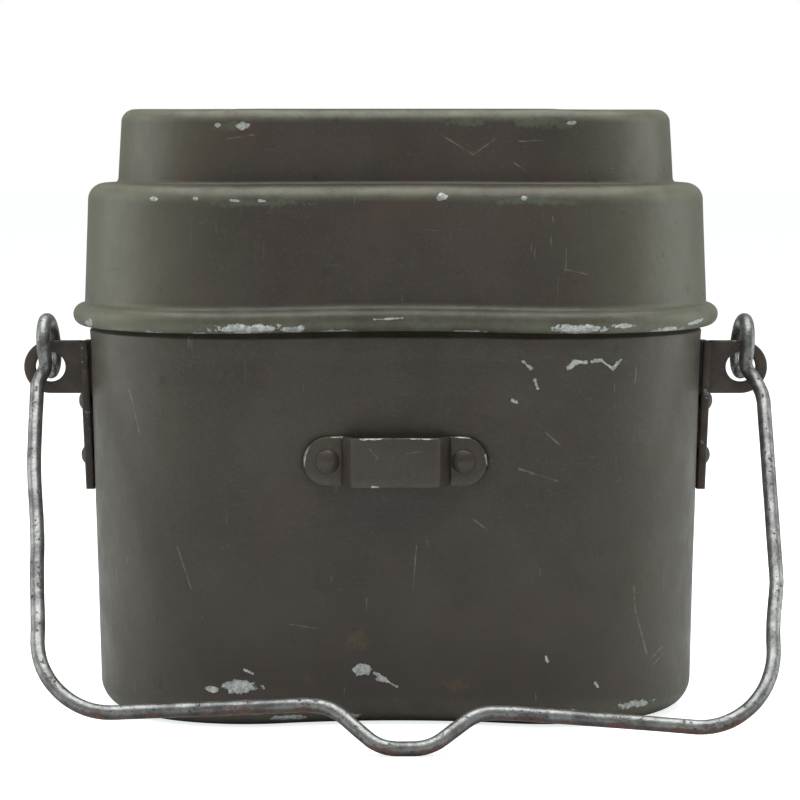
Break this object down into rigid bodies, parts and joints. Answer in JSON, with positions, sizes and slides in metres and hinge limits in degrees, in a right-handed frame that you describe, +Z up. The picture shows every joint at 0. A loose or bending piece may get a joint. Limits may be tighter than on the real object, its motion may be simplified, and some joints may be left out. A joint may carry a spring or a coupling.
{
  "type": "lidded mess tin with wire bail",
  "caption": "Kidney-plan metal mess tin: a deep pot with riveted ears and strap loops, a stepped telescoping lid with a folding wire handle, and a swinging wire bail.",
  "frame": {"origin": "centre of the pot's flat base, on the surface it stands on", "axes": "+Z up out of the pot, +X along the long plan axis to the right ear, -Y towards the hollow front with its strap loop"},
  "size_m": [0.219, 0.1505, 0.1761],
  "materials": {
    "pot_paint": "worn olive-brown paint over aluminium",
    "lid_paint": "worn olive-brown paint over aluminium",
    "bracket_steel": "dark brown paint over steel, rust at the edges",
    "bail_wire": "bare pitted steel with rust",
    "handle_wire": "bare pitted steel with rust",
    "rim_wire": "bare steel",
    "rivets": "worn paint over steel"
  },
  "bodies": {
    "pot": {"pot_shell": "pot_paint", "left_ear_bracket": "bracket_steel", "right_ear_bracket": "bracket_steel", "left_ear_upper_rivet": "rivets", "left_ear_lower_rivet": "rivets", "right_ear_upper_rivet": "rivets", "right_ear_lower_rivet": "rivets", "front_strap_loop": "bracket_steel", "front_loop_left_rivet": "rivets", "front_loop_right_rivet": "rivets", "back_strap_loop": "bracket_steel", "back_loop_left_rivet": "rivets", "back_loop_right_rivet": "rivets"},
    "lid": {"lid_shell": "lid_paint", "lid_rim_wire": "rim_wire", "lid_handle_bracket": "bracket_steel", "lid_handle_left_rivet": "rivets", "lid_handle_right_rivet": "rivets"},
    "bail": {"bail": "bail_wire"},
    "lid_handle": {"lid_handle": "handle_wire"}
  },
  "joints": [
    {"name": "bail_swing", "type": "hinge", "parent": "pot", "child": "bail", "pos_m": [0, 0, 0.10632], "axis": [-1, 0, 0], "range_deg": [0, 282]},
    {"name": "lid_lift", "type": "slide", "parent": "pot", "child": "lid", "axis": [0, 0, 1], "range_m": [0, 0.045]},
    {"name": "lid_handle_fold", "type": "hinge", "parent": "lid", "child": "lid_handle", "pos_m": [0, 0.06066, 0.12577], "axis": [1, 0, 0], "range_deg": [0, 180]}
  ]
}
